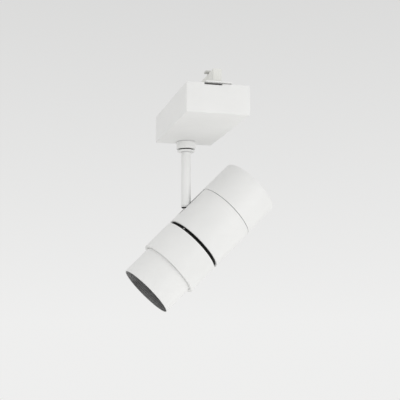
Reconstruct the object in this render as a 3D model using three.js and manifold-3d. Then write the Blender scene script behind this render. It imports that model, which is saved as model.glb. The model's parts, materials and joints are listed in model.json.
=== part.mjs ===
// Track spotlight: gear box with a three-circuit track adapter, a hanging stem and a cylindrical
// projector head with a telescopic snoot. Millimetres, +Z up. X runs across the track, Y along it.
// The origin is the centre of the adapter plate's top face, above the stem, where the lamp seats on
// the underside of the track.
import * as THREE from 'three';
import { mergeVertices } from 'three/addons/utils/BufferGeometryUtils.js';
import Module from 'manifold-3d';

const wasm = await Module();
wasm.setup();

// ---- Driving dimensions -------------------------------------------------------------------------

// Running clearance between neighbouring pieces.
const GAP = 0.3;

// Gear box hanging under the track, with its stem near the far end.
const BOX = { width: 84, near: -177, far: 16, top: -1.5, bottom: -41, wall: 2.2, corner: 1.6 };
const COVER = { thickness: 2.2, screwX: 34, screwInset: 8 };
// Thumb notch under the lever, in the near end's top edge: deep on one side, shallow on the other.
const NOTCH = { left: -18.5, step: 5, right: 17.4, deep: 2.8, shallow: 0.8, cover: 12 };

// Adapter that stands in the groove of the track.
const PLATE = { width: 35, near: -121, far: 14, padNear: -17, relief: 0.4 };
const NECK = { width: 11.4, near: -172, far: -20, height: 19 };
const LOCK_Y = -146;
const ROTOR_Y = -66;
const SELECTOR_LEVELS = { phase_1: 4.6, phase_2: 10, phase_3: 15.4 };
const NEUTRAL_LEVEL = 10;
const BLADE = { inner: 4.2, reach: 9.2, width: 5, thickness: 1.2 };
const LEVER = { overhang: 3.5, tab: 16, hub: 8 };
const CAM = { halfLength: 10, halfWidth: 4, thickness: 3 };

// Swivel collar and stem.
const COLLAR = {
  radius: 13.9, bottom: -52, grooveRadius: 10.8, rimTop: -53.7, rimRadius: 12.6, rimBottom: -56.2,
  bore: 4.7, spigotRadius: 5, spigotBore: 3.6, spigotTop: -24,
};
const STEM = { radius: 7, bore: 4.8 };

// Projector head. Stations are distances along its axis, positive towards the light opening, from
// the point where the axis meets the stem's axis.
const HEAD = { height: -201.5, tilt: 45, radius: 46, wall: 2.6 };
const SNOOT = { radius: 41, wall: 1.5, front: 81.5, back: 32 };
const BARREL = { front: 36.2, back: -10.8, lip: 2.4, clearance: 0.5 };
const HOUSING = { front: -15.8, back: -83, seam: 0.4 };
const CAP = { back: -137, wall: 3, spigot: 6 };
const SLOT = { halfWidth: 8 };

// Tilt joint, just under the head's skin on the stem's axis.
const PIVOT = {
  depth: 8, pinRadius: 2.5, headRadius: 4.2, eyeRadius: 6.6, eyeHalf: 3.6, earRadius: 5.2, earInner: 5.3,
  earOuter: 7.2,
};

// Optics.
const LENS = { back: 8, depth: 12, radius: 34.6 };
const LOUVRE = { back: 53, depth: 7, pitch: 12.2, wall: 1.2 };
const SINK = { front: -24, disc: 6, back: -76, fins: 9, finThickness: 2.2, top: 27 };

const skinInner = HEAD.radius - HEAD.wall;
const pivotOffset = HEAD.radius - PIVOT.depth;
const pivotStation = -pivotOffset;
const pivotHeight = HEAD.height + pivotOffset * Math.SQRT2;
// Holes for the 3 mm screws that hold the covers and the adapter.
const SCREW_HOLE = 1.9;

// Sides of round pieces.
const ROUND = 40;
const SMALL = 16;

// ---- Materials ----------------------------------------------------------------------------------

function finish(color, roughness, metalness) {
  return () => new THREE.MeshStandardMaterial({ color, roughness, metalness });
}
const whitePaint = finish(0xe9e9e5, 0.45, 0.0);
const blackPaint = finish(0x141414, 0.6, 0.0);
const darkBaffle = finish(0x262626, 0.8, 0.0);
const steel = finish(0xb4b4b2, 0.35, 1.0);
const aluminium = finish(0xa8aaac, 0.4, 1.0);
const brass = finish(0xb8923e, 0.3, 1.0);
const whitePlastic = finish(0xe4e4df, 0.5, 0.0);
const greyPlastic = finish(0x6f7275, 0.55, 0.0);
const glass = finish(0xe8f0f2, 0.05, 0.0);
const phosphor = finish(0xf2d34a, 0.6, 0.0);
const mirror = finish(0xd8dadc, 0.1, 1.0);

// ---- Geometry helpers ---------------------------------------------------------------------------

// A closed mesh with shared vertices, no collapsed triangles and its faces pointing out.
function weld(geometry) {
  const bare = new THREE.BufferGeometry();
  bare.setAttribute('position', geometry.getAttribute('position').clone());
  if (geometry.index) bare.setIndex(geometry.index.clone());
  const merged = mergeVertices(bare, 1e-4);
  const points = merged.getAttribute('position').array;
  const faces = [];
  let volume = 0;
  for (let i = 0; i < merged.index.count; i += 3) {
    const [a, b, c] = [0, 1, 2].map((k) => merged.index.getX(i + k));
    if (a === b || b === c || c === a) continue;
    faces.push(a, b, c);
    const [p, q, r] = [a, b, c].map((k) => new THREE.Vector3().fromArray(points, 3 * k));
    volume += p.dot(q.cross(r));
  }
  if (volume < 0) faces.reverse();
  merged.setIndex(faces);
  return merged;
}

function toSolid(geometry) {
  const closed = weld(geometry);
  const vertProperties = new Float32Array(closed.getAttribute('position').array);
  const triVerts = new Uint32Array(closed.index.array);
  return new wasm.Manifold(new wasm.Mesh({ numProp: 3, vertProperties, triVerts }));
}

function fromSolid(solid) {
  const mesh = solid.getMesh();
  const geometry = new THREE.BufferGeometry();
  geometry.setAttribute('position', new THREE.BufferAttribute(mesh.vertProperties, 3));
  geometry.setIndex(new THREE.BufferAttribute(mesh.triVerts, 1));
  return geometry;
}

function cut(base, ...tools) {
  return fromSolid(tools.reduce((solid, tool) => solid.subtract(toSolid(tool)), toSolid(base)));
}

function join(first, ...others) {
  return fromSolid(others.reduce((solid, other) => solid.add(toSolid(other)), toSolid(first)));
}

// A box between two values on each axis.
function block([x0, x1], [y0, y1], [z0, z1]) {
  const box = new THREE.BoxGeometry(x1 - x0, y1 - y0, z1 - z0);
  return box.translate((x0 + x1) / 2, (y0 + y1) / 2, (z0 + z1) / 2);
}

const turnToAxis = {
  x: new THREE.Matrix4().makeRotationZ(-Math.PI / 2),
  y: new THREE.Matrix4(),
  z: new THREE.Matrix4().makeRotationX(Math.PI / 2),
};

// A round bar along an axis, from one value to another, through the other two coordinates.
function rod(axis, radius, from, to, [u, v] = [0, 0], sides = SMALL) {
  const bar = new THREE.CylinderGeometry(radius, radius, to - from, sides);
  bar.applyMatrix4(turnToAxis[axis]);
  const middle = (from + to) / 2;
  const place = { x: [middle, u, v], y: [u, middle, v], z: [u, v, middle] };
  return bar.translate(...place[axis]);
}

// A turned piece: its profile is a list of [distance along the axis, radius].
function turned(axis, profile, sides = ROUND) {
  const points = profile.map(([along, radius]) => new THREE.Vector2(radius, along));
  const lathe = new THREE.LatheGeometry(points, sides);
  return lathe.applyMatrix4(turnToAxis[axis]);
}

// A turned piece with a hole: the profile closes on itself.
function turnedRing(axis, profile, sides = ROUND) {
  return turned(axis, [...profile, profile[0]], sides);
}

function ring(axis, outer, inner, from, to, sides = ROUND) {
  return turnedRing(axis, [[from, inner], [from, outer], [to, outer], [to, inner]], sides);
}

// An outline in the XY plane raised between two heights.
function raised(shape, from, to, curveSegments = 5) {
  const solid = new THREE.ExtrudeGeometry(shape, { depth: to - from, bevelEnabled: false, curveSegments });
  return solid.translate(0, 0, from);
}

function roundedOutline([x0, x1], [y0, y1], radius) {
  const shape = new THREE.Shape();
  shape.absarc(x1 - radius, y1 - radius, radius, 0, Math.PI / 2);
  shape.absarc(x0 + radius, y1 - radius, radius, Math.PI / 2, Math.PI);
  shape.absarc(x0 + radius, y0 + radius, radius, Math.PI, 1.5 * Math.PI);
  shape.absarc(x1 - radius, y0 + radius, radius, 1.5 * Math.PI, 2 * Math.PI);
  return shape;
}

function hexOutline(radius, cx = 0, cy = 0, turn = 0) {
  const corners = [];
  for (let i = 0; i < 6; i += 1) {
    const angle = turn + (i * Math.PI) / 3;
    corners.push(new THREE.Vector2(cx + radius * Math.cos(angle), cy + radius * Math.sin(angle)));
  }
  return corners;
}

const spotlight = new THREE.Group();

function add(group, name, geometry, material) {
  const mesh = new THREE.Mesh(weld(geometry), material());
  mesh.name = name;
  group.add(mesh);
  return mesh;
}

// ---- Gear box -----------------------------------------------------------------------------------

const half = BOX.width / 2;
const coverBottom = BOX.top - COVER.thickness;
const bossTop = coverBottom - GAP;
const coverScrews = [];
for (const x of [-COVER.screwX, COVER.screwX]) {
  for (const y of [BOX.near + COVER.screwInset, BOX.far - COVER.screwInset]) {
    coverScrews.push([x, y]);
  }
}
const adapterScrewPlaces = [-34, -104];

function thumbNotch() {
  const shape = new THREE.Shape();
  shape.moveTo(NOTCH.left, BOX.top + 1);
  shape.lineTo(NOTCH.left, BOX.top - NOTCH.deep);
  shape.lineTo(NOTCH.step, BOX.top - NOTCH.deep);
  shape.lineTo(NOTCH.step + 1.5, BOX.top - NOTCH.shallow);
  shape.lineTo(NOTCH.right, BOX.top - NOTCH.shallow);
  shape.lineTo(NOTCH.right, BOX.top + 1);
  const wedge = raised(shape, -BOX.wall - 1, 1);
  wedge.applyMatrix4(new THREE.Matrix4().makeRotationX(Math.PI / 2));
  return wedge.translate(0, BOX.near, 0);
}

function gearHousing() {
  const inner = half - BOX.wall;
  const floor = BOX.bottom + BOX.wall;
  const outline = roundedOutline([-half, half], [BOX.near, BOX.far], BOX.corner);
  const outside = raised(outline, BOX.bottom, BOX.top);
  const inside = block([-inner, inner], [BOX.near + BOX.wall, BOX.far - BOX.wall], [floor, BOX.top + 1]);
  const bosses = coverScrews.map(([x, y]) => rod('z', 3.4, floor - 1, bossTop, [x, y], 12));
  const holes = coverScrews.map(([x, y]) => rod('z', SCREW_HOLE, bossTop - 9, bossTop + 1, [x, y], 12));
  const swivelHole = rod('z', 9, BOX.bottom - 1, floor + 1, [0, 0], 28);
  return cut(join(cut(outside, inside), ...bosses), ...holes, swivelHole, thumbNotch());
}

function gearCover() {
  const inner = half - BOX.wall - GAP;
  const near = BOX.near + BOX.wall + GAP;
  const plate = block([-inner, inner], [near, BOX.far - BOX.wall - GAP], [coverBottom, BOX.top]);
  const sinks = coverScrews.map(([x, y]) => rod('z', 3.3, BOX.top - 1.3, BOX.top + 1, [x, y], 12));
  const through = [coverBottom - 1, BOX.top + 1];
  const holes = coverScrews.map((place) => rod('z', SCREW_HOLE, ...through, place, 12));
  const adapterHoles = adapterScrewPlaces.map((y) => rod('z', SCREW_HOLE, ...through, [0, y], 12));
  const notch = block([NOTCH.left, NOTCH.step], [near - 1, near + NOTCH.cover], through);
  return cut(plate, ...sinks, ...holes, ...adapterHoles, notch);
}

// Screw along Z: a flat head between head[0] and head[1] and a shank down or up to its tip.
function screw(headRadius, shankRadius, head, tip, [x, y]) {
  const shankFrom = Math.min(tip, head[1] - 0.1);
  const shankTo = Math.max(tip, head[0] + 0.1);
  const headDisc = rod('z', headRadius, head[0], head[1], [x, y], 10);
  return join(headDisc, rod('z', shankRadius, shankFrom, shankTo, [x, y], 8));
}

function driverModule() {
  const body = block([-30, 30], [-166, -56], [BOX.bottom + BOX.wall + GAP, -12]);
  const terminals = block([-22, 22], [-57, -49], [BOX.bottom + BOX.wall + GAP, -22]);
  return join(body, terminals);
}

function terminalBlock() {
  const body = block([-32, -14], [-42, -16], [BOX.bottom + BOX.wall + GAP, -24]);
  const wells = [-38, -29, -20].map((y) => rod('z', 1.8, -32, -23, [-23, y], 10));
  return cut(body, ...wells);
}

add(spotlight, 'gear_housing', gearHousing(), whitePaint);
add(spotlight, 'gear_cover', gearCover(), whitePaint);
coverScrews.forEach((place, i) => {
  const head = [BOX.top - 1.1, BOX.top - 0.1];
  add(spotlight, `cover_screw_${i + 1}`, screw(2.9, 1.5, head, bossTop - 8, place), steel);
});
add(spotlight, 'driver_module', driverModule(), whitePlastic);
add(spotlight, 'terminal_block', terminalBlock(), greyPlastic);

// ---- Track adapter ------------------------------------------------------------------------------

// Seat plate: the pad above the stem bears on the track; the rest lies a little lower, under the neck.
function adapterPlate() {
  const w = PLATE.width / 2;
  const plate = block([-w, w], [PLATE.near, PLATE.far], [BOX.top + 0.1, -PLATE.relief]);
  const pad = block([-w, w], [PLATE.padNear, PLATE.far], [-PLATE.relief - 0.1, 0]);
  const holes = adapterScrewPlaces.map((y) => rod('z', SCREW_HOLE, BOX.top - 1, 1, [0, y], 12));
  return cut(join(plate, pad), ...holes);
}

// The neck has a bore for the lock shaft, a blind bore for the contact rotor, and flat pockets in
// which the contact blades swing.
function adapterNeck() {
  const w = NECK.width / 2;
  const neck = block([-w, w], [NECK.near, NECK.far], [GAP, NECK.height]);
  const screwHoles = adapterScrewPlaces.map((y) => rod('z', SCREW_HOLE, 0, 10, [0, y], 12));
  const lockBore = rod('z', 4, -1, NECK.height + 1, [0, LOCK_Y], 16);
  const rotorBore = rod('z', 4.2, -1, NECK.height - 1.2, [0, ROTOR_Y], 16);
  const pockets = Object.values(SELECTOR_LEVELS).map((z) => (
    rod('z', BLADE.reach + 0.4, z - 1, z + 1, [0, ROTOR_Y], 24)
  ));
  return cut(neck, ...screwHoles, lockBore, rotorBore, ...pockets);
}

add(spotlight, 'adapter_plate', adapterPlate(), whitePaint);
add(spotlight, 'adapter_neck', adapterNeck(), whitePlastic);
adapterScrewPlaces.forEach((y, i) => {
  const solid = screw(3, 1.5, [coverBottom - 2, coverBottom - GAP], 9, [0, y]);
  add(spotlight, `adapter_screw_${i + 1}`, solid, steel);
});
const neckSide = NECK.width / 2 + GAP;
add(spotlight, 'earth_contact', block([-neckSide - 0.9, -neckSide], [-104, -88], [5, 14]), brass);

// Thumb lever under the neck's near end. It turns a quarter turn with its shaft and cam, and the cam
// then lies along the neck so that the adapter can leave the groove.
function lockLever() {
  const w = PLATE.width / 2;
  const end = BOX.near - LEVER.overhang;
  const shoulder = end + LEVER.tab;
  const shape = new THREE.Shape();
  shape.moveTo(-w, end);
  shape.lineTo(w, end);
  shape.lineTo(w, shoulder);
  shape.lineTo(LEVER.hub, LOCK_Y - LEVER.hub);
  shape.absarc(0, LOCK_Y, LEVER.hub, 0, Math.PI, false);
  shape.lineTo(-LEVER.hub, LOCK_Y - LEVER.hub);
  shape.lineTo(-w, shoulder);
  return cut(raised(shape, BOX.top + 0.1, 0), rod('z', 4, -3, 1, [0, LOCK_Y], 16));
}

const lock = new THREE.Group();
spotlight.add(lock);
add(lock, 'lock_lever', lockLever(), whitePaint);
add(lock, 'lock_shaft', rod('z', 3.7, BOX.top + 0.1, NECK.height + 0.2, [0, LOCK_Y], 16), steel);
const camBase = NECK.height + 0.5;
const camX = [-CAM.halfLength, CAM.halfLength];
const camY = [LOCK_Y - CAM.halfWidth, LOCK_Y + CAM.halfWidth];
add(lock, 'lock_cam', block(camX, camY, [camBase, camBase + CAM.thickness]), steel);

// Contact rotor: three phase blades on one side at three heights, one neutral blade on the other.
function blade(side, level) {
  const [from, to] = side > 0 ? [BLADE.inner, BLADE.reach] : [-BLADE.reach, -BLADE.inner];
  const [t, w] = [BLADE.thickness / 2, BLADE.width / 2];
  return block([from, to], [ROTOR_Y - w, ROTOR_Y + w], [level - t, level + t]);
}

const contacts = new THREE.Group();
spotlight.add(contacts);
add(contacts, 'contact_rotor', rod('z', 3.85, 0.7, NECK.height - 1.6, [0, ROTOR_Y], 16), greyPlastic);
for (const [name, level] of Object.entries(SELECTOR_LEVELS)) {
  add(contacts, `contact_${name}`, blade(1, level), brass);
}
add(contacts, 'contact_neutral', blade(-1, NEUTRAL_LEVEL), brass);

// ---- Swivel and stem ----------------------------------------------------------------------------

const bushFloor = BOX.bottom + BOX.wall;

function swivelBush() {
  const profile = [
    [BOX.bottom, 5.4], [BOX.bottom, 8.7], [bushFloor + GAP, 8.7], [bushFloor + GAP, 12],
    [bushFloor + 2.2, 12], [bushFloor + 2.2, 5.4],
  ];
  return turnedRing('z', profile, 32);
}

function collarUpper() {
  const top = BOX.bottom - GAP;
  const r = COLLAR.radius;
  const bore = COLLAR.spigotRadius + 0.6;
  const profile = [
    [COLLAR.bottom, bore], [COLLAR.bottom, r - 0.4], [COLLAR.bottom + 0.4, r], [top, r], [top, bore],
  ];
  return turnedRing('z', profile, 32);
}

// The lower collar carries the stem: a recessed neck, a thin rim, and a spigot up into the gear box.
function collarLower() {
  const { rimBottom, rimTop, rimRadius, grooveRadius, bore, spigotRadius, spigotBore, spigotTop } = COLLAR;
  const neckTop = COLLAR.bottom - GAP;
  const profile = [
    [rimBottom, bore], [rimBottom, rimRadius - 0.8], [rimBottom + 0.8, rimRadius], [rimTop, rimRadius],
    [rimTop, grooveRadius], [neckTop, grooveRadius], [neckTop, spigotRadius], [spigotTop, spigotRadius],
    [spigotTop, spigotBore], [rimBottom + 4, spigotBore], [rimBottom + 4, bore],
  ];
  return turnedRing('z', profile, 32);
}

function swivelNut() {
  const nut = raised(new THREE.Shape(hexOutline(9.2)), -33.6, -27.6);
  return cut(nut, rod('z', 5.3, -35, -26, [0, 0], 20));
}

const tubeBottom = pivotHeight + 12.1;

function stemTube() {
  return ring('z', STEM.radius, STEM.bore, tubeBottom, COLLAR.rimBottom - GAP, 32);
}

// Flat eye at the foot of the stem, with a shank inside the tube.
function stemEye() {
  const top = tubeBottom - GAP;
  const h = PIVOT.eyeHalf;
  const disc = rod('y', PIVOT.eyeRadius, -h, h, [0, pivotHeight], 24);
  const web = block([-h, h], [-h, h], [pivotHeight, top - 2.5]);
  const head = rod('z', STEM.radius, top - 2.6, top, [0, 0], 24);
  const shank = rod('z', STEM.bore - GAP, top - 0.2, top + 14, [0, 0], 16);
  const hole = rod('y', PIVOT.pinRadius + GAP, -h - 1, h + 1, [0, pivotHeight], 16);
  return cut(join(disc, web, head, shank), hole);
}

add(spotlight, 'swivel_bush', swivelBush(), whitePlastic);
add(spotlight, 'collar_upper', collarUpper(), whitePaint);
const stem = new THREE.Group();
spotlight.add(stem);
add(stem, 'collar_lower', collarLower(), whitePaint);
add(stem, 'swivel_washer', ring('z', 11, 5.4, bushFloor + 2.6, bushFloor + 4.2, 28), steel);
add(stem, 'swivel_nut', swivelNut(), steel);
add(stem, 'stem_tube', stemTube(), whitePaint);
add(stem, 'stem_eye', stemEye(), steel);

// ---- Head: +x along the optical axis, +z towards the stem's side of the barrel ---------------------

const head = new THREE.Group();
head.position.set(0, 0, HEAD.height);
const tilt = THREE.MathUtils.degToRad(HEAD.tilt);
head.setRotationFromMatrix(new THREE.Matrix4().makeBasis(
  new THREE.Vector3(-Math.cos(tilt), 0, -Math.sin(tilt)),
  new THREE.Vector3(0, -1, 0),
  new THREE.Vector3(-Math.sin(tilt), 0, Math.cos(tilt)),
));
spotlight.add(head);

// Rear housing with the slot that the stem swings in, open towards the cap.
function rearHousing() {
  const shell = ring('x', HEAD.radius, skinInner, HOUSING.back + HOUSING.seam, HOUSING.front);
  const w = SLOT.halfWidth;
  const slot = block([HOUSING.back - 1, pivotStation], [-w, w], [pivotOffset - 10, HEAD.radius + 2]);
  const slotEnd = rod('z', w, pivotOffset - 10, HEAD.radius + 2, [pivotStation, 0], 20);
  return cut(shell, slot, slotEnd);
}

const capScrewCircle = 30;
const capScrews = [90, 210, 330].map((degrees) => {
  const angle = THREE.MathUtils.degToRad(degrees);
  return [capScrewCircle * Math.cos(angle), capScrewCircle * Math.sin(angle)];
});

function rearCap() {
  const front = HOUSING.back - HOUSING.seam;
  const spigot = skinInner - GAP;
  const bore = spigot - 1.8;
  const r = HEAD.radius;
  const profile = [
    [CAP.back, 0], [CAP.back, r - 1.2], [CAP.back + 0.35, r - 0.35], [CAP.back + 1.2, r], [front, r],
    [front, spigot], [front + CAP.spigot, spigot], [front + CAP.spigot, bore], [CAP.back + CAP.wall, bore],
    [CAP.back + CAP.wall, 0],
  ];
  const holes = capScrews.map((place) => rod('x', 1.8, CAP.back - 1, CAP.back + CAP.wall + 1, place, 12));
  const sinks = capScrews.map((place) => rod('x', 3.2, CAP.back - 1, CAP.back + 1.5, place, 12));
  return cut(turned('x', profile), ...holes, ...sinks);
}

function capScrew([y, z]) {
  const headDisc = rod('x', 2.9, CAP.back + 0.3, CAP.back + 1.3, [y, z], 12);
  return join(headDisc, rod('x', 1.5, CAP.back + 1.2, SINK.back - GAP, [y, z], 12));
}

add(head, 'rear_housing', rearHousing(), whitePaint);
add(head, 'rear_cap', rearCap(), whitePaint);
capScrews.forEach((place, i) => add(head, `cap_screw_${i + 1}`, capScrew(place), steel));

// Tilt joint: two ears on a base that stands on the heat sink, a pin and two friction washers.
function pivotBracket() {
  const base = block([pivotStation - 12, pivotStation + 12], [-11, 11], [SINK.top + GAP, SINK.top + 2.4]);
  const parts = [];
  for (const side of [-1, 1]) {
    const [y0, y1] = [side * PIVOT.earInner, side * PIVOT.earOuter].sort((a, b) => a - b);
    const r = PIVOT.earRadius;
    parts.push(block([pivotStation - r, pivotStation + r], [y0, y1], [SINK.top + 2, pivotOffset]));
    parts.push(rod('y', r, y0, y1, [pivotStation, pivotOffset], 20));
  }
  const hole = rod('y', PIVOT.pinRadius + GAP, -12, 12, [pivotStation, pivotOffset], 16);
  return cut(join(base, ...parts), hole);
}

function pivotPin() {
  const shank = rod('y', PIVOT.pinRadius, -9.4, 9.4, [pivotStation, pivotOffset], 16);
  const headDisc = rod('y', PIVOT.headRadius, 7.6, 9.4, [pivotStation, pivotOffset], 16);
  const nut = rod('y', PIVOT.headRadius, -9.4, -7.6, [pivotStation, pivotOffset], 6);
  return join(shank, headDisc, nut);
}

function pivotWasher(side) {
  const faces = [side * (PIVOT.eyeHalf + GAP), side * (PIVOT.earInner - GAP)];
  const [from, to] = faces.sort((a, b) => a - b);
  const washer = rod('y', 5, from, to, [pivotStation, pivotOffset], 20);
  return cut(washer, rod('y', PIVOT.pinRadius + 0.2, from - 1, to + 1, [pivotStation, pivotOffset], 16));
}

add(head, 'pivot_bracket', pivotBracket(), steel);
add(head, 'pivot_pin', pivotPin(), steel);
add(head, 'pivot_washer_left', pivotWasher(-1), brass);
add(head, 'pivot_washer_right', pivotWasher(1), brass);

// Heat sink: a front disc that carries the lamp board, with upright fins behind it.
function heatSink() {
  const r = skinInner - 0.6;
  const disc = ring('x', r, 4, SINK.front, SINK.front + SINK.disc, 40);
  const fins = [];
  const pitch = (2 * r * 0.88) / (SINK.fins - 1);
  for (let i = 0; i < SINK.fins; i += 1) {
    const y = (i - (SINK.fins - 1) / 2) * pitch;
    const t = SINK.finThickness / 2;
    const reach = Math.sqrt(r * r - (Math.abs(y) + t) ** 2) - 0.3;
    fins.push(block([SINK.back, SINK.front + 1], [y - t, y + t], [-reach, Math.min(reach, SINK.top)]));
  }
  return join(disc, ...fins);
}

// Recessed black ring between the two white barrels. It locates both of them.
const coreRadius = skinInner - GAP;

function coreRing() {
  const [back, web, webFront, front] = [SINK.front + SINK.disc + 0.7, -13.2, -7, 3];
  const bore = coreRadius - 1.1;
  const profile = [
    [back, bore - 2], [back, coreRadius], [front, coreRadius], [front, bore], [webFront, bore],
    [webFront, 31], [web, 31], [web, bore - 2],
  ];
  return turnedRing('x', profile);
}

const dotAngle = THREE.MathUtils.degToRad(40);
const gapMiddle = (HOUSING.front + BARREL.back) / 2;

function coreScrew() {
  const stud = rod('x', 1.1, 0, 1.6, [0, 0], 12);
  stud.applyMatrix4(new THREE.Matrix4().makeRotationZ(Math.PI / 2));
  stud.translate(0, coreRadius + 0.1, 0);
  stud.applyMatrix4(new THREE.Matrix4().makeRotationX(dotAngle));
  return stud.translate(gapMiddle, 0, 0);
}

add(head, 'heat_sink', heatSink(), aluminium);
add(head, 'core_ring', coreRing(), blackPaint);
add(head, 'core_screw', coreScrew(), steel);
const boardBack = SINK.front + SINK.disc + GAP;
add(head, 'led_board', rod('x', 24, boardBack, boardBack + 1.6, [0, 0], 32), whitePlastic);
add(head, 'led_emitter', rod('x', 10.5, boardBack + 1.9, boardBack + 3.2, [0, 0], 24), phosphor);
const holderBack = boardBack + 1.9;
add(head, 'led_holder', ring('x', 28, 12.5, holderBack, holderBack + 4, 32), whitePlastic);

// Bell-shaped reflector, a thin shell widening towards the lens.
function reflector() {
  const [back, front, throat, mouth, wall] = [holderBack + 4.4, 5, 12, 29, 1];
  const outer = [];
  const inner = [];
  const steps = 4;
  for (let i = 0; i <= steps; i += 1) {
    const t = i / steps;
    const along = back + (front - back) * t;
    const radius = throat + (mouth - throat) * Math.sin((t * Math.PI) / 2);
    outer.push([along, radius + wall]);
    inner.unshift([along, radius]);
  }
  return turnedRing('x', [...outer, ...inner], 24);
}
add(head, 'reflector', reflector(), mirror);

// ---- Zoom ring, lens carriage and snoot ---------------------------------------------------------

function frontBarrel() {
  const r = HEAD.radius;
  const lip = SNOOT.radius + BARREL.clearance;
  const profile = [
    [BARREL.back, skinInner], [BARREL.back, r], [BARREL.front - 0.4, r], [BARREL.front, r - 0.4],
    [BARREL.front, lip], [BARREL.front - BARREL.lip, lip], [BARREL.front - BARREL.lip, skinInner],
  ];
  return turnedRing('x', profile);
}

const zoom = new THREE.Group();
head.add(zoom);
add(zoom, 'front_barrel', frontBarrel(), whitePaint);

const snootInner = SNOOT.radius - SNOOT.wall;
const carriageRadius = snootInner - 0.8;
const lensFront = LENS.back + LENS.depth;

function lensCarriage() {
  const seat = LENS.back + 2.4;
  const profile = [
    [LENS.back, LENS.radius - 2.6], [LENS.back, carriageRadius], [lensFront, carriageRadius],
    [lensFront, LENS.radius + GAP], [seat, LENS.radius + GAP], [seat, LENS.radius - 2.6],
  ];
  return turnedRing('x', profile);
}

function lens() {
  const [back, edge, crown, r] = [LENS.back + 2.7, LENS.back + 5, LENS.back + 11, LENS.radius];
  const profile = [[back, 0], [back, r]];
  const steps = 4;
  for (let i = 0; i <= steps; i += 1) {
    const angle = (i * Math.PI) / 2 / steps;
    profile.push([edge + (crown - edge) * Math.sin(angle), r * Math.cos(angle)]);
  }
  return turned('x', profile, 28);
}

const carriage = new THREE.Group();
head.add(carriage);
add(carriage, 'lens_carriage', lensCarriage(), blackPaint);
add(carriage, 'lens', lens(), glass);
const retainer = ring('x', LENS.radius - 0.1, LENS.radius - 2.2, lensFront - 3, lensFront - 0.6, 28);
add(carriage, 'lens_retainer', retainer, blackPaint);

function snootTube() {
  const r = SNOOT.radius;
  const bead = skinInner - 0.5;
  const profile = [
    [SNOOT.back, snootInner], [SNOOT.back, bead], [SNOOT.back + 1.6, bead], [SNOOT.back + 1.6, r],
    [SNOOT.front - 0.4, r], [SNOOT.front, r - 0.4], [SNOOT.front, snootInner],
  ];
  return turnedRing('x', profile);
}

// Hexagonal anti-glare louvre: a disc with a honeycomb of through holes.
function louvre() {
  const rim = snootInner - GAP;
  const shape = new THREE.Shape();
  shape.absarc(0, 0, rim, 0, 2 * Math.PI, false);
  const cell = (LOUVRE.pitch - LOUVRE.wall) / Math.sqrt(3);
  const rowStep = (LOUVRE.pitch * Math.sqrt(3)) / 2;
  for (let row = -4; row <= 4; row += 1) {
    for (let col = -4; col <= 4; col += 1) {
      const x = (col + (row % 2 === 0 ? 0 : 0.5)) * LOUVRE.pitch;
      const y = row * rowStep;
      if (Math.hypot(x, y) + cell > rim - 1) continue;
      shape.holes.push(new THREE.Path(hexOutline(cell, x, y, Math.PI / 6)));
    }
  }
  const disc = raised(shape, 0, LOUVRE.depth, 32);
  disc.applyMatrix4(new THREE.Matrix4().makeRotationY(Math.PI / 2));
  return disc.translate(LOUVRE.back, 0, 0);
}

const snoot = new THREE.Group();
head.add(snoot);
add(snoot, 'snoot_tube', snootTube(), whitePaint);
add(snoot, 'louvre', louvre(), darkBaffle);
const clipBack = LOUVRE.back + LOUVRE.depth + GAP;
const clip = ring('x', snootInner - GAP, snootInner - 2.4, clipBack, clipBack + 1.6);
add(snoot, 'louvre_ring', clip, darkBaffle);

export default spotlight;
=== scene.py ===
import json
import math

import bmesh
import bpy
from mathutils import Matrix, Vector


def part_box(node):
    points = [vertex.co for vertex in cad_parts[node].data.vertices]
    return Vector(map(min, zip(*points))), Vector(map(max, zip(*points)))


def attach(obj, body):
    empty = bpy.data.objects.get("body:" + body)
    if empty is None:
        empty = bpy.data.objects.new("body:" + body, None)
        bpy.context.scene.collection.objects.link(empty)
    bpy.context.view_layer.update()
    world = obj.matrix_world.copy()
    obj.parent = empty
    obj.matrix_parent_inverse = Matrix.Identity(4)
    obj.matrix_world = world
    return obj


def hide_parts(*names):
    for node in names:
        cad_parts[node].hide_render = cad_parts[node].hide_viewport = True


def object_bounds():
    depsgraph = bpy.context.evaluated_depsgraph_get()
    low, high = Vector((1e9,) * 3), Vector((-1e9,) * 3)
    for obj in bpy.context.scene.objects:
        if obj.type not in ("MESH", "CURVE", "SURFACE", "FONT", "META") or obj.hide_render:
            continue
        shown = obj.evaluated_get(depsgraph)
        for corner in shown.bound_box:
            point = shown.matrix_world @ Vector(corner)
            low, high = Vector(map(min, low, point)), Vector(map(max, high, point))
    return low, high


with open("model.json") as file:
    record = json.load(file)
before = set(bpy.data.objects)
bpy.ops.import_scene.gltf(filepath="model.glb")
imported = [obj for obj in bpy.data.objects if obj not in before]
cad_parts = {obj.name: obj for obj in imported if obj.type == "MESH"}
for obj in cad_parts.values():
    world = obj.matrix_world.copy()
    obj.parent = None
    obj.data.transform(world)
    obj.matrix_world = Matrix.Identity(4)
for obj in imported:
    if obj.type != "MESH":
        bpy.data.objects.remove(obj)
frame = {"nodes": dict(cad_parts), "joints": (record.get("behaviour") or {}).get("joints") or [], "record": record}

cad_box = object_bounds()

# ---- Places worked out from the frame ---------------------------------------------------------------

MM = 0.001
HINGES = {joint["name"]: joint for joint in frame["joints"]}
AXIS = Vector(HINGES["focus_slide"]["axis"]).normalized()
HEAD_ORIGIN = Vector(HINGES["zoom_turn"]["pos_m"])
SIDE = Vector((0.0, -1.0, 0.0))
OVER = AXIS.cross(SIDE).normalized()
PIVOT = Vector(HINGES["tilt"]["pos_m"])

# Head space: x along the optical axis, y to the side, z towards the side that the stem enters.
HEAD_SPACE = Matrix((
    (AXIS.x, SIDE.x, OVER.x, HEAD_ORIGIN.x),
    (AXIS.y, SIDE.y, OVER.y, HEAD_ORIGIN.y),
    (AXIS.z, SIDE.z, OVER.z, HEAD_ORIGIN.z),
    (0.0, 0.0, 0.0, 1.0),
))
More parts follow.
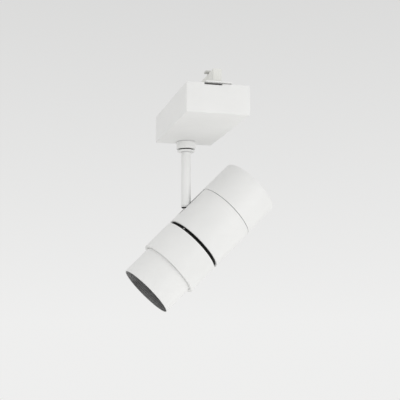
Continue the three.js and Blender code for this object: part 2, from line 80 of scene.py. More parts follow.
# Turned pieces are drawn along x; this one stands them up along z.
UPRIGHT = Matrix.Rotation(-math.pi / 2, 4, "Y")


def span(node, direction, origin):
    """Lowest and highest distance of a CAD node along a direction from a point."""
    along = [(v.co - origin).dot(direction) for v in frame["nodes"][node].data.vertices]
    return min(along), max(along)


def reach(node, direction, origin):
    """Largest distance of a CAD node from a line."""
    gaps = [(v.co - origin).cross(direction).length for v in frame["nodes"][node].data.vertices]
    return max(gaps)


def centroid(node):
    """Mean place of a CAD node's vertices."""
    vertices = frame["nodes"][node].data.vertices
    return sum((v.co for v in vertices), Vector()) / len(vertices)


def head_span(node):
    return span(node, AXIS, HEAD_ORIGIN)


def head_place(point):
    """Distance along the optical axis and distance from it."""
    offset = point - HEAD_ORIGIN
    return offset.dot(AXIS), offset.cross(AXIS).length


GAP = 0.3 * MM
R = reach("rear_housing", AXIS, HEAD_ORIGIN)
SNOOT_WALL = 1.5 * MM
SNOOT_R = reach("louvre", AXIS, HEAD_ORIGIN) + GAP + SNOOT_WALL
INNER = reach("core_ring", AXIS, HEAD_ORIGIN) + GAP
HOUSE_BACK, HOUSE_FRONT = head_span("rear_housing")
SEAM = 0.8 * MM
CAP_BACK, CAP_FRONT = head_span("rear_cap")[0], HOUSE_BACK - SEAM
BARREL_BACK, BARREL_FRONT = head_span("front_barrel")
SNOOT_BACK, SNOOT_FRONT = head_span("snoot_tube")
PIVOT_X = (PIVOT - HEAD_ORIGIN).dot(AXIS)
PIVOT_Z = (PIVOT - HEAD_ORIGIN).dot(OVER)
SLOT_HALF = 8 * MM
BOX_WALL = 2.2 * MM
NOTCH_LEFT, NOTCH_STEP, NOTCH_RIGHT = -18.5 * MM, 5 * MM, 17.4 * MM
NOTCH_DEEP, NOTCH_SHALLOW, NOTCH_LID = 2.8 * MM, 0.8 * MM, 12 * MM
PAD_NEAR, PAD_STEP = -17 * MM, 0.4 * MM
NECK_PANELS = ((-132 * MM, -108 * MM), (-52 * MM, -28 * MM))
LEVER_TAB, LEVER_HUB = 16 * MM, 8 * MM
CONTACT_NAMES = ("contact_phase_1", "contact_phase_2", "contact_phase_3", "contact_neutral")
STEM_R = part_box("stem_tube")[1].x
STEM_BORE = 4.8 * MM
COLLAR_NECK, COLLAR_RIM = 10.8 * MM, 2.5 * MM
PIVOT_R, PIVOT_HEAD = 2.5 * MM, 4.2 * MM
WEB_BACK, WEB_FRONT, WEB_BORE = -13.2 * MM, -7 * MM, 31 * MM
BOX_LOW, BOX_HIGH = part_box("gear_housing")

# The stage and the camera, in metres and degrees.
FLOOR_HALF, FLOOR_DROP = 12.0, 1.6
CAMERA_PLACE = (-0.2768, -1.1589, -0.2979)
CAMERA_YAW, CAMERA_PITCH = 14.42, 8.18


# ---- Materials --------------------------------------------------------------------------------------

def new_material(name):
    material = bpy.data.materials.new(name)
    material.use_nodes = True
    tree = material.node_tree
    shader = tree.nodes["Principled BSDF"]
    place = tree.nodes.new("ShaderNodeTexCoord").outputs["Object"]
    return material, tree, shader, place


def noise(tree, place, scale, detail=4.0, roughness=0.55, stretch=None):
    if stretch:
        mapping = tree.nodes.new("ShaderNodeMapping")
        mapping.inputs["Scale"].default_value = stretch
        tree.links.new(place, mapping.inputs["Vector"])
        place = mapping.outputs["Vector"]
    node = tree.nodes.new("ShaderNodeTexNoise")
    node.inputs["Scale"].default_value = scale
    node.inputs["Detail"].default_value = detail
    node.inputs["Roughness"].default_value = roughness
    tree.links.new(place, node.inputs["Vector"])
    return node.outputs["Fac"]


def ramp(tree, factor, stops):
    node = tree.nodes.new("ShaderNodeValToRGB")
    ramp_stops = node.color_ramp.elements
    while len(ramp_stops) < len(stops):
        ramp_stops.new(0.5)
    for element, (position, colour) in zip(ramp_stops, stops):
        element.position = position
        element.color = (*colour, 1.0)
    tree.links.new(factor, node.inputs["Fac"])
    return node.outputs["Color"]


def vary(tree, factor, low, high):
    node = tree.nodes.new("ShaderNodeMapRange")
    node.inputs["From Min"].default_value = 0.3
    node.inputs["From Max"].default_value = 0.7
    node.inputs["To Min"].default_value = low
    node.inputs["To Max"].default_value = high
    tree.links.new(factor, node.inputs["Value"])
    return node.outputs["Result"]


def add_bump(tree, shader, height, strength, distance):
    node = tree.nodes.new("ShaderNodeBump")
    node.inputs["Strength"].default_value = strength
    node.inputs["Distance"].default_value = distance
    tree.links.new(height, node.inputs["Height"])
    tree.links.new(node.outputs["Normal"], shader.inputs["Normal"])


def grey(level):
    return (level, level, level)


def surface(name, dark, light, rough, grain, bump, metallic=0.0, stretch=None, specular=0.5):
    """A finish with cloudy colour variation, uneven roughness and a fine bumpy grain."""
    material, tree, shader, place = new_material(name)
    clouds = noise(tree, place, 22.0, 3.0)
    tree.links.new(ramp(tree, clouds, [(0.3, dark), (0.7, light)]), shader.inputs["Base Color"])
    patches = noise(tree, place, 90.0, 5.0)
    tree.links.new(vary(tree, patches, *rough), shader.inputs["Roughness"])
    fine = noise(tree, place, grain, 6.0, 0.6, stretch)
    add_bump(tree, shader, fine, bump, 0.0004)
    shader.inputs["Metallic"].default_value = metallic
    shader.inputs["Specular IOR Level"].default_value = specular
    return material


def painted_white():
    """Powder coat: slightly cloudy white with an orange-peel bump."""
    material, tree, shader, place = new_material("white_powder_coat")
    clouds = noise(tree, place, 16.0, 3.0)
    base = ramp(tree, clouds, [(0.25, (0.785, 0.785, 0.78)), (0.75, (0.83, 0.83, 0.826))])
    tree.links.new(base, shader.inputs["Base Color"])
    patches = noise(tree, place, 120.0, 5.0)
    tree.links.new(vary(tree, patches, 0.40, 0.52), shader.inputs["Roughness"])
    peel = noise(tree, place, 900.0, 3.0, 0.5)
    add_bump(tree, shader, peel, 0.10, 0.0003)
    shader.inputs["Specular IOR Level"].default_value = 0.45
    return material


def clear_glass():
    material, tree, shader, place = new_material("lens_glass")
    smears = noise(tree, place, 60.0, 4.0)
    tree.links.new(vary(tree, smears, 0.01, 0.06), shader.inputs["Roughness"])
    tint = ramp(tree, smears, [(0.3, (0.93, 0.96, 0.97)), (0.7, (0.98, 0.99, 1.0))])
    tree.links.new(tint, shader.inputs["Base Color"])
    shader.inputs["Transmission Weight"].default_value = 1.0
    shader.inputs["IOR"].default_value = 1.49
    return material


def phosphor_yellow():
    material, tree, shader, place = new_material("phosphor")
    cells = tree.nodes.new("ShaderNodeTexVoronoi")
    cells.inputs["Scale"].default_value = 900.0
    tree.links.new(place, cells.inputs["Vector"])
    tone = ramp(tree, cells.outputs["Distance"], [(0.0, (0.9, 0.66, 0.12)), (0.8, (0.72, 0.48, 0.06))])
    tree.links.new(tone, shader.inputs["Base Color"])
    tree.links.new(vary(tree, cells.outputs["Distance"], 0.45, 0.7), shader.inputs["Roughness"])
    add_bump(tree, shader, cells.outputs["Distance"], 0.3, 0.0002)
    return material


FINISH = {
    "white_paint": painted_white(),
    # black_paint is the black ring's own colour, and also painted shade in the cap seam, the collar groove and
    # under the stem plug.
    "black_paint": surface(
        "black_paint", grey(0.003), grey(0.007), (0.55, 0.75), 1500, 0.2, specular=0.2,
    ),
    # dark_baffle is the snoot's and louvre's own dark colour, and also painted shade on the front barrel's lip
    # bore.
    "dark_baffle": surface("dark_baffle", grey(0.12), grey(0.34), (0.45, 0.75), 1800, 0.8),
    "steel": surface(
        "zinc_steel", (0.42, 0.42, 0.41), (0.6, 0.6, 0.58), (0.25, 0.42), 700, 0.15, 1.0, (1.0, 1.0, 0.08),
    ),
    "aluminium": surface(
        "cast_aluminium", (0.36, 0.37, 0.38), (0.5, 0.51, 0.52), (0.35, 0.55), 800, 0.35, 1.0,
    ),
    "brass": surface(
        "spring_brass", (0.48, 0.32, 0.11), (0.62, 0.44, 0.18), (0.22, 0.38), 900, 0.12, 1.0,
        (1.0, 0.08, 1.0),
    ),
    "white_plastic": surface(
        "white_plastic", (0.70, 0.70, 0.67), (0.78, 0.78, 0.75), (0.42, 0.58), 1200, 0.15,
    ),
    "grey_plastic": surface(
        "grey_plastic", (0.12, 0.13, 0.14), (0.18, 0.19, 0.2), (0.4, 0.6), 1200, 0.2,
    ),
    "phosphor": phosphor_yellow(),
    "mirror": surface(
        "metallised_mirror", (0.72, 0.72, 0.71), (0.84, 0.84, 0.83), (0.06, 0.14), 400, 0.06, 1.0,
    ),
    "glass": clear_glass(),
}


# ---- Mesh helpers -----------------------------------------------------------------------------------

def dress_edges(mesh, sharp_degrees=32.0):
    """Smooth shading, with the edges that turn more than the given angle kept crisp."""
    work = bmesh.new()
    work.from_mesh(mesh)
    limit = math.radians(sharp_degrees)
    for face in work.faces:
        face.smooth = True
    for edge in work.edges:
        edge.smooth = len(edge.link_faces) == 2 and edge.calc_face_angle(0.0) < limit
    work.to_mesh(mesh)
    work.free()


def piece(name, work, body, slot, replaced=(), space=None, extra=()):
    """Turns a bmesh into an object that rides on a body and stands for CAD nodes."""
    if space:
        work.transform(space)
    bmesh.ops.remove_doubles(work, verts=work.verts, dist=1e-7)
    bmesh.ops.recalc_face_normals(work, faces=work.faces)
    mesh = bpy.data.meshes.new(name)
    work.to_mesh(mesh)
    work.free()
    dress_edges(mesh)
    made = bpy.data.objects.new(name, mesh)
    bpy.context.scene.collection.objects.link(made)
    mesh.materials.append(FINISH[slot])
    for other in extra:
        mesh.materials.append(FINISH[other])
    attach(made, body)
    if replaced:
        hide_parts(*replaced)
    return made


def rounded(profile, radii, steps=5, closed=True):
    """A profile with its corners rounded: one radius for each corner, 0 for a sharp one."""
    count = len(profile)
    out = []
    for i, (point, radius) in enumerate(zip(profile, radii)):
        here = Vector(point)
        if radius <= 0 or (not closed and i in (0, count - 1)):
            out.append(here)
            continue
        before = (Vector(profile[i - 1]) - here).normalized()
        after = (Vector(profile[(i + 1) % count]) - here).normalized()
        angle = before.angle(after)
        back = radius / math.tan(angle / 2)
        centre = here + (before + after).normalized() * (radius / math.sin(angle / 2))
        start = (here + before * back - centre).normalized()
        end = (here + after * back - centre).normalized()
        out += [centre + start.slerp(end, k / steps) * radius for k in range(steps + 1)]
    return out


def turn(profile, sides=128, closed=True):
    """A solid of revolution about x from (x, radius) points; a point at radius 0 becomes a pole."""
    work = bmesh.new()
    rings = []
    for x, radius in profile:
        if radius < 1e-9:
            rings.append([work.verts.new((x, 0.0, 0.0))])
            continue
        rings.append([
            work.verts.new((x, radius * math.cos(a), radius * math.sin(a)))
            for a in (2 * math.pi * k / sides for k in range(sides))
        ])
    pairs = list(zip(rings, rings[1:]))
    if closed:
        pairs.append((rings[-1], rings[0]))
    for low, high in pairs:
        for k in range(sides):
            n = (k + 1) % sides
            if len(low) == 1 and len(high) == 1:
                break
            if len(low) == 1:
                work.faces.new((low[0], high[k], high[n]))
            elif len(high) == 1:
                work.faces.new((low[k], low[n], high[0]))
            else:
                work.faces.new((low[k], low[n], high[n], high[k]))
    return work


def ring_profile(back, front, outer, inner, edge, inner_edge=0.0):
    corners = [(back, inner), (back, outer), (front, outer), (front, inner)]
    return rounded(corners, [inner_edge, edge, edge, inner_edge])


def slab(low, high, edge, segments=4):
    """A box between two corners with rounded edges."""
    work = bmesh.new()
    bmesh.ops.create_cube(work, size=1.0)
    size = Vector(high) - Vector(low)
    middle = (Vector(high) + Vector(low)) / 2
    work.transform(Matrix.Translation(middle) @ Matrix.Diagonal((*size, 1.0)))
    if edge > 0:
        bmesh.ops.bevel(
            work, geom=list(work.edges), offset=edge, segments=segments, profile=0.5, affect="EDGES",
        )
    return work


def prism(outline, start, end, along="z"):
    """A flat outline raised along z, or standing in the xz plane and raised along y."""
    def place(point, at):
        return (point[0], point[1], at) if along == "z" else (point[0], at, point[1])

    work = bmesh.new()
    low = [work.verts.new(place(point, start)) for point in outline]
    high = [work.verts.new(place(point, end)) for point in outline]
    work.faces.new(low)
    work.faces.new(reversed(high))
    for k in range(len(outline)):
        n = (k + 1) % len(outline)
        work.faces.new((low[k], high[k], high[n], low[n]))
    bmesh.ops.recalc_face_normals(work, faces=work.faces)
    return work


def soften(work, offset, sharper_than=1.2, segments=3):
    """Rounds the edges of a bmesh that turn more than an angle in radians."""
    edges = [edge for edge in work.edges if edge.calc_face_angle(0.0) > sharper_than]
    bmesh.ops.bevel(work, geom=edges, offset=offset, segments=segments, profile=0.5, affect="EDGES")
    return work


def merged(*parts):
    """Several bmeshes in one."""
    whole = parts[0]
    for part in parts[1:]:
        mesh = bpy.data.meshes.new("part")
        part.to_mesh(mesh)
        part.free()
        whole.from_mesh(mesh)
        bpy.data.meshes.remove(mesh)
    return whole


def carved(target, cutters):
    """target with the cutters' shapes removed. Both are bmeshes, and a new bmesh comes back."""
    def as_object(work, name):
        bmesh.ops.recalc_face_normals(work, faces=work.faces)
        mesh = bpy.data.meshes.new(name)
        work.to_mesh(mesh)
        work.free()
        made = bpy.data.objects.new(name, mesh)
        bpy.context.scene.collection.objects.link(made)
        return made

    base = as_object(target, "carve_base")
    tools = [as_object(cutter, "carve_tool") for cutter in cutters]
    for tool in tools:
        cut = base.modifiers.new("cut", "BOOLEAN")
        cut.operation = "DIFFERENCE"
        cut.solver = "EXACT"
        cut.object = tool
    graph = bpy.context.evaluated_depsgraph_get()
    result = bmesh.new()
    result.from_mesh(base.evaluated_get(graph).to_mesh())
    for extra in [base, *tools]:
        bpy.data.objects.remove(extra)
    return result


def bar(axis, radius, start, end, centre=(0.0, 0.0), sides=48, edge=0.0):
    """A round bar along an axis, with rounded ends."""
    corners = [(start, 0.0), (start, radius), (end, radius), (end, 0.0)]
    work = turn(rounded(corners, [0, edge, edge, 0], 3, closed=False), sides, closed=False)
    if axis == "y":
        work.transform(Matrix.Rotation(math.pi / 2, 4, "Z"))
        work.transform(Matrix.Translation((centre[0], 0.0, centre[1])))
    elif axis == "z":
        work.transform(UPRIGHT)
        work.transform(Matrix.Translation((centre[0], centre[1], 0.0)))
    else:
        work.transform(Matrix.Translation((0.0, centre[0], centre[1])))
    return work


# ---- Gear box ---------------------------------------------------------------------------------------

def make_gear_box():
    """Tray with rounded edges and a thumb notch under the lever, and a lid with sunk screws."""
    wall = BOX_WALL
    outside = slab(BOX_LOW, BOX_HIGH, 1.3 * MM, 5)
    inside = slab(
        (BOX_LOW.x + wall, BOX_LOW.y + wall, BOX_LOW.z + wall),
        (BOX_HIGH.x - wall, BOX_HIGH.y - wall, BOX_HIGH.z + wall), 0.0,
    )
    hole = bar("z", 9 * MM, BOX_LOW.z - wall, BOX_LOW.z + 2 * wall)
    top, over = BOX_HIGH.z, BOX_HIGH.z + wall
    notch = [
        (NOTCH_LEFT, over), (NOTCH_LEFT, top - NOTCH_DEEP), (NOTCH_STEP, top - NOTCH_DEEP),
        (NOTCH_STEP + 1.5 * MM, top - NOTCH_SHALLOW), (NOTCH_RIGHT, top - NOTCH_SHALLOW), (NOTCH_RIGHT, over),
    ]
    thumb = prism(notch, BOX_LOW.y - MM, BOX_LOW.y + wall + MM, "y")
    tray = carved(outside, [inside, hole, thumb])
    piece("gear_box_tray", tray, "root", "white_paint", ["gear_housing"])
    low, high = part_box("gear_cover")
    lid = slab(low, high, 0.5 * MM, 3)
    sinks = [slab((NOTCH_LEFT, low.y - MM, low.z - MM), (NOTCH_STEP, low.y + NOTCH_LID, high.z + MM), 0.0)]
    for k in range(1, 5):
        s_low, s_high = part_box(f"cover_screw_{k}")
        x, y = (s_low.x + s_high.x) / 2, (s_low.y + s_high.y) / 2
        sinks.append(bar("z", 3.3 * MM, high.z - 1.3 * MM, high.z + 1 * MM, (x, y), 40))
        top = Vector((x, y, s_high.z))
        make_cross_screw(f"lid_screw_{k}", f"cover_screw_{k}", "root", top, Vector((0, 0, 1)))
    piece("gear_box_lid", carved(lid, sinks), "root", "white_paint", ["gear_cover"])


def make_cross_screw(name, node, body, top, outward):
    """Pan-head screw with a cross recess, over the head of a CAD screw."""
    radius, height = 2.85 * MM, 1.0 * MM
    corners = [(-height, 0.0), (-height, radius), (0.0, radius), (0.0, 0.0)]
    disc = turn(rounded(corners, [0, 0, 0.5 * MM, 0], 4, closed=False), 40, closed=False)
    slots = []
    for turn_by in (0.0, math.pi / 2):
        arm = slab((-0.7 * MM, -1.7 * MM, -0.35 * MM), (0.4 * MM, 1.7 * MM, 0.35 * MM), 0.0)
        arm.transform(Matrix.Rotation(turn_by, 4, "X"))
        slots.append(arm)
    shank = bar("x", 1.4 * MM, -9 * MM, -height, sides=20)
    work = merged(carved(disc, slots), shank)
    spin = Vector((1, 0, 0)).rotation_difference(outward).to_matrix().to_4x4()
    piece(name, work, body, "steel", [node], Matrix.Translation(top) @ spin)


# ---- Track adapter ----------------------------------------------------------------------------------

def make_adapter():
    """Seat plate with its raised pad, neck with pockets for the blades, and the sprung contacts."""
    low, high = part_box("adapter_plate")
    base = slab(low, (high.x, high.y, high.z - PAD_STEP), 0.3 * MM, 3)
    pad = slab((low.x, PAD_NEAR, high.z - PAD_STEP - 0.3 * MM), high, 0.25 * MM, 3)
    piece("adapter_seat_plate", merged(base, pad), "root", "white_paint", ["adapter_plate"])
    low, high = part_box("adapter_neck")
    rotor_low, rotor_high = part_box("contact_rotor")
    rotor_y = (rotor_low.y + rotor_high.y) / 2
    cuts = []
    for name in CONTACT_NAMES[:3]:
        b_low, b_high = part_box(name)
        z = (b_low.z + b_high.z) / 2
        cuts.append(bar("z", 9.6 * MM, z - 1 * MM, z + 1 * MM, (0.0, rotor_y), 64))
    lock_y = HINGES["lock_turn"]["pos_m"][1]
    cuts.append(bar("z", 4.0 * MM, low.z - MM, high.z + MM, (0.0, lock_y), 40))
    cuts.append(bar("z", 4.2 * MM, low.z - MM, high.z - 1.2 * MM, (0.0, rotor_y), 40))
    for side in (-1, 1):
        for y0, y1 in NECK_PANELS:
            face = side * high.x
            x0, x1 = sorted((face + side * MM, face - side * 0.9 * MM))
            cuts.append(slab((x0, y0, 5 * MM), (x1, y1, 14 * MM), 0.0))
    neck = carved(slab(low, high, 0.7 * MM, 4), cuts)
    piece("adapter_neck_moulding", neck, "root", "white_plastic", ["adapter_neck"])
    low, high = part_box("lock_cam")
    piece("lock_cam_bar", slab(low, high, 0.8 * MM, 4), "lock", "steel", ["lock_cam"])
    low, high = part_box("earth_contact")
    piece("earth_spring", slab(low, high, 0.3 * MM, 3), "root", "brass", ["earth_contact"])
    for name in CONTACT_NAMES:
        low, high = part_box(name)
        piece(name + "_blade", slab(low, high, 0.35 * MM, 3), "contacts", "brass", [name])


def make_lever():
    """Thumb lever: a wide tab with rounded corners, tapering to a round hub."""
    low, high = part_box("lock_lever")
    hub_y = HINGES["lock_turn"]["pos_m"][1]
    hub, half = LEVER_HUB, high.x
    neck_y, tab_y = hub_y - hub, low.y + LEVER_TAB
    corners = [(-half, low.y), (half, low.y), (half, tab_y), (hub, neck_y)]
    radii = [2.2 * MM, 2.2 * MM, 2.5 * MM, 0.0]
    edge = rounded([*corners, (-hub, neck_y), (-half, tab_y)], [*radii, 0.0, 2.5 * MM], 5)
    split = 1 + next(i for i, p in enumerate(edge) if (p - Vector((hub, neck_y))).length < 1e-9)
    angles = [math.pi * k / 16 for k in range(17)]
    arc = [Vector((hub * math.cos(a), hub_y + hub * math.sin(a))) for a in angles]
    work = soften(prism(edge[:split] + arc + edge[split:], low.z, high.z), 0.3 * MM)
    piece("lever_tab", work, "lock", "white_paint", ["lock_lever"])


# ---- Swivel and stem --------------------------------------------------------------------------------

def make_swivel():
    """Fixed collar, and the turning one with a neck painted black as painted shade, so it shows as a thin dark
    groove between them.
    """
    low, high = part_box("collar_upper")
    corners = [(low.z, 5.6 * MM), (low.z, high.x), (high.z, high.x), (high.z, 5.6 * MM)]
    upper = turn(rounded(corners, [0, 0.9 * MM, 0.3 * MM, 0], 6), 128)
    piece("swivel_collar_fixed", upper, "root", "white_paint", ["collar_upper"], UPRIGHT)
    low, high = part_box("collar_lower")
    rim_low, rim_top, neck = low.z, low.z + COLLAR_RIM, COLLAR_NECK
    collar_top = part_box("collar_upper")[0].z - GAP
    corners = [
        (rim_low, 4.7 * MM), (rim_low, high.x), (rim_top, high.x), (rim_top, neck), (collar_top, neck),
        (collar_top, 5 * MM), (high.z, 5 * MM), (high.z, 3.6 * MM), (rim_low + 4 * MM, 3.6 * MM),
        (rim_low + 4 * MM, 4.7 * MM),
    ]
    radii = [0, 1.1 * MM, 0.4 * MM, 0.3 * MM, 0, 0, 0.6 * MM, 0, 0, 0]
    work = turn(rounded(corners, radii, 6), 128)
    collar = piece(
        "swivel_collar_turning", work, "stem", "white_paint", ["collar_lower"], UPRIGHT, ["black_paint"],
    )
    # Neck faces above the rim get black paint: painted shade for the groove between the two collars.
    for face in collar.data.polygons:
        radius = math.hypot(face.center.x, face.center.y)
        if face.center.z > rim_top + 0.2 * MM and radius < neck + 0.2 * MM:
            face.material_index = 1


def make_stem():
    """Tube, and the foot in its end: a white plug, a neck painted black as painted shade under the plug, and a
    flat eye.
    """
    low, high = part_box("stem_tube")
    corners = [(low.z, STEM_BORE), (low.z, high.x), (high.z, high.x), (high.z, STEM_BORE)]
    tube = turn(rounded(corners, [0.2 * MM, 0.7 * MM, 0.3 * MM, 0.2 * MM], 5), 96)
    piece("stem_tube_hollow", tube, "stem", "white_paint", ["stem_tube"], UPRIGHT)
    low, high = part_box("stem_eye")
    eye_r, half, top = 6.6 * MM, 3.6 * MM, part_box("stem_tube")[0].z - GAP
    pin_hole = 2.8 * MM
    disc = turn(ring_profile(-half, half, eye_r, pin_hole, 0.5 * MM), 64)
    disc.transform(Matrix.Translation((0.0, 0.0, PIVOT.z)) @ Matrix.Rotation(math.pi / 2, 4, "Z"))
    web = slab((-half, -half, PIVOT.z + 3.4 * MM), (half, half, top - 2.5 * MM), 0.5 * MM, 3)
    plug_low, neck_low = top - 1.4 * MM, top - 2.6 * MM
    plug = bar("z", STEM_R, plug_low, top, sides=64, edge=0.4 * MM)
    neck = bar("z", 6.2 * MM, neck_low, plug_low + 0.2 * MM, sides=64)
    shank = bar("z", STEM_BORE - GAP, top - 0.2 * MM, high.z, sides=40, edge=0.4 * MM)
    foot = merged(disc, web, plug, neck, shank)
    foot = piece("stem_foot_eye", foot, "stem", "steel", ["stem_eye"], None, ["white_paint", "black_paint"])
    # Plug faces get white paint; neck faces get black paint, painted shade in the gap under the plug.
    for face in foot.data.polygons:
        if face.center.z > plug_low - 0.05 * MM:
            face.material_index = 1
        elif face.center.z > neck_low - 0.05 * MM:
            face.material_index = 2


# ---- Head -------------------------------------------------------------------------------------------

def make_rear_housing():
    """Slotted barrel. The slot's front end is round and it runs out at the back, under the cap."""
    corners = [(HOUSE_BACK, INNER), (HOUSE_BACK, R), (HOUSE_FRONT, R), (HOUSE_FRONT, INNER)]
    shell = turn(rounded(corners, [0, 0.35 * MM, 0.25 * MM, 0]), 160)
    half = SLOT_HALF
    slot = slab((HOUSE_BACK - 2 * MM, -half, PIVOT_Z - 10 * MM), (PIVOT_X, half, R + 3 * MM), 0.0)
    end = bar("z", half, PIVOT_Z - 10 * MM, R + 3 * MM, (PIVOT_X, 0.0), 64)
    work = carved(shell, [slot, end])
    piece("rear_barrel", work, "head", "white_paint", ["rear_housing"], HEAD_SPACE)


def make_rear_cap():
    """Cup with a spigot painted black where the seam shows it, as painted shade in the seam, and three sunk
    screws.
    """
    spigot, bore = INNER - GAP, INNER - 2.1 * MM
    front = CAP_FRONT
    wall = 3 * MM
    corners = [
        (CAP_BACK, 0.0), (CAP_BACK, R), (front, R), (front, spigot), (front + 6 * MM, spigot),
        (front + 6 * MM, bore), (CAP_BACK + wall, bore), (CAP_BACK + wall, 0.0),
    ]
    radii = [0, 1.3 * MM, 0.35 * MM, 0, 0.3 * MM, 0, 1.0 * MM, 0]
    work = turn(rounded(corners, radii, 6, closed=False), 160, closed=False)
    sinks = []
    for k in range(1, 4):
        spot = centroid(f"cap_screw_{k}") - HEAD_ORIGIN
        y, z = spot.dot(SIDE), spot.dot(OVER)
        sinks.append(bar("x", 3.25 * MM, CAP_BACK - 2 * MM, CAP_BACK + 1.5 * MM, (y, z), 48))
        top = HEAD_SPACE @ Vector((CAP_BACK + 0.3 * MM, y, z))
        make_cross_screw(f"cap_cross_screw_{k}", f"cap_screw_{k}", "head", top, -AXIS)
    cap = piece(
        "rear_cap_cup", carved(work, sinks), "head", "white_paint", ["rear_cap"], HEAD_SPACE, ["black_paint"],
    )
    # Spigot faces in the seam get black paint: painted shade that darkens the seam between cap and barrel.
    for face in cap.data.polygons:
        along, radius = head_place(face.center)
        if along > front - 0.05 * MM and radius < spigot + 0.1 * MM:
            face.material_index = 1


def make_core_ring():
    """Black ring in the gap, with fine grooves where it shows and its small bright stud."""
    back, front = head_span("core_ring")
    outer = INNER - GAP
    corners = [(back, outer - 3.1 * MM), (back, outer)]
    grooves, pitch = 5, 0.88 * MM
    start = HOUSE_FRONT + 0.3 * MM
    for k in range(grooves):
        at = start + k * pitch
        deep = outer - 0.3 * MM
        corners += [(at, outer), (at + 0.25 * pitch, deep), (at + 0.6 * pitch, deep)]
    corners += [
        (start + grooves * pitch, outer), (front, outer), (front, outer - 1.1 * MM),
        (WEB_FRONT, outer - 1.1 * MM), (WEB_FRONT, WEB_BORE), (WEB_BACK, WEB_BORE),
        (WEB_BACK, outer - 3.1 * MM),
    ]
    work = turn([Vector(c) for c in corners], 128)
    piece("core_grooved_ring", work, "head", "black_paint", ["core_ring"], HEAD_SPACE)
    spot = centroid("core_screw")
    outward = (spot - HEAD_ORIGIN) - AXIS * (spot - HEAD_ORIGIN).dot(AXIS)
    outward.normalize()
    corners = [(-0.8 * MM, 0.0), (-0.8 * MM, 1.1 * MM), (0.8 * MM, 1.1 * MM), (0.8 * MM, 0.0)]
    dome = turn(rounded(corners, [0, 0, 0.7 * MM, 0], 6, closed=False), 32, closed=False)
    spin = Vector((1, 0, 0)).rotation_difference(outward).to_matrix().to_4x4()
    piece("core_stud", dome, "head", "steel", ["core_screw"], Matrix.Translation(spot) @ spin)


def make_pivot():
    """Pin with a domed head and a hexagon nut."""
    place = (PIVOT_X, PIVOT_Z)
    shank = bar("y", PIVOT_R, -9.2 * MM, 9.2 * MM, place, 40)
    cap = bar("y", PIVOT_HEAD, 7.6 * MM, 9.4 * MM, place, 40, 0.7 * MM)
    nut = bar("y", PIVOT_HEAD, -9.4 * MM, -7.6 * MM, place, 6, 0.2 * MM)
    piece("tilt_pin", merged(shank, cap, nut), "head", "steel", ["pivot_pin"], HEAD_SPACE)


# ---- Zoom ring, snoot and optics --------------------------------------------------------------------

def make_front_barrel():
    """Barrel with an inward lip that closes round the snoot; the lip's bore is painted dark as painted shade in
    the gap round the snoot.
    """
    lip = 2.4 * MM
    bore = SNOOT_R + 0.5 * MM
    corners = [
        (BARREL_BACK, INNER), (BARREL_BACK, R), (BARREL_FRONT, R), (BARREL_FRONT, bore),
        (BARREL_FRONT - lip, bore), (BARREL_FRONT - lip, INNER),
    ]
    radii = [0, 0.25 * MM, 0.3 * MM, 0.2 * MM, 0, 0]
    barrel = turn(rounded(corners, radii, 5), 160)
    barrel = piece(
        "zoom_barrel", barrel, "zoom_ring", "white_paint", ["front_barrel"], HEAD_SPACE, ["dark_baffle"],
    )
    # The lip's bore gets the dark finish as painted shade for the thin gap line round the snoot; the inside of the
    # barrel behind the lip is dark too.
    for face in barrel.data.polygons:
        along, radius = head_place(face.center)
        if radius < bore + 0.05 * MM or (radius < INNER and along < BARREL_FRONT - MM):
            face.material_index = 1


def make_snoot():
    """White tube with a thin rim; its bore is dark, with fine anti-glare steps."""
    r, wall = SNOOT_R, SNOOT_WALL
    bead = INNER - 0.5 * MM
    bore = r - wall
    louvre_front = head_span("louvre_ring")[1] + 0.3 * MM
    outer = [
        (SNOOT_BACK, bore), (SNOOT_BACK, bead), (SNOOT_BACK + 1.6 * MM, bead), (SNOOT_BACK + 1.6 * MM, r),
        (SNOOT_FRONT, r), (SNOOT_FRONT, bore + 0.35 * MM),
    ]
    radii = [0, 0.3 * MM, 0.3 * MM, 0, 0.45 * MM, 0.2 * MM]
    profile = rounded([*outer, (SNOOT_FRONT - 1.2 * MM, bore)], [*radii, 0], 5, closed=False)
    steps = 7
    run = SNOOT_FRONT - 1.2 * MM - louvre_front
    for k in range(steps):
        at = SNOOT_FRONT - 1.2 * MM - run * k / steps
        deep = at - 0.75 * run / steps
        profile += [Vector((deep, bore + 0.45 * MM)), Vector((at - run / steps, bore))]
    work = turn(profile, 160)
    snoot = piece("snoot_shell", work, "snoot", "white_paint", ["snoot_tube"], HEAD_SPACE, ["dark_baffle"])
    for face in snoot.data.polygons:
        along, radius = head_place(face.center)
        if radius < bore + 0.55 * MM and along < SNOOT_FRONT - 0.3 * MM:
            face.material_index = 1


def make_louvre():
    """Honeycomb louvre: hexagonal cells with thin walls in a round rim."""
    back, front = head_span("louvre")
    rim = SNOOT_R - SNOOT_WALL - GAP
    pitch, wall = 6.2 * MM, 0.5 * MM
    cell = (pitch - wall) / math.sqrt(3)
    row_step = pitch * math.sqrt(3) / 2
    disc = turn(ring_profile(back, front, rim, rim - 1.2 * MM, 0.2 * MM), 128)
    rows = int(rim / row_step) + 1
    walls = bmesh.new()
    for row in range(-rows, rows + 1):
        for col in range(-rows, rows + 1):
            y = (col + (0.5 if row % 2 else 0.0)) * pitch
            z = row * row_step
            if math.hypot(y, z) + cell > rim - 0.5 * MM:
                continue
            add_cell(walls, y, z, cell, wall, back + 0.4 * MM, front - 0.4 * MM)
    piece("honeycomb_louvre", merged(disc, walls), "snoot", "dark_baffle", ["louvre"], HEAD_SPACE)
    back, front = head_span("louvre_ring")
    clip = turn(ring_profile(back, front, rim, rim - 2.1 * MM, 0.4 * MM), 128)
    piece("louvre_clip_ring", clip, "snoot", "dark_baffle", ["louvre_ring"], HEAD_SPACE)


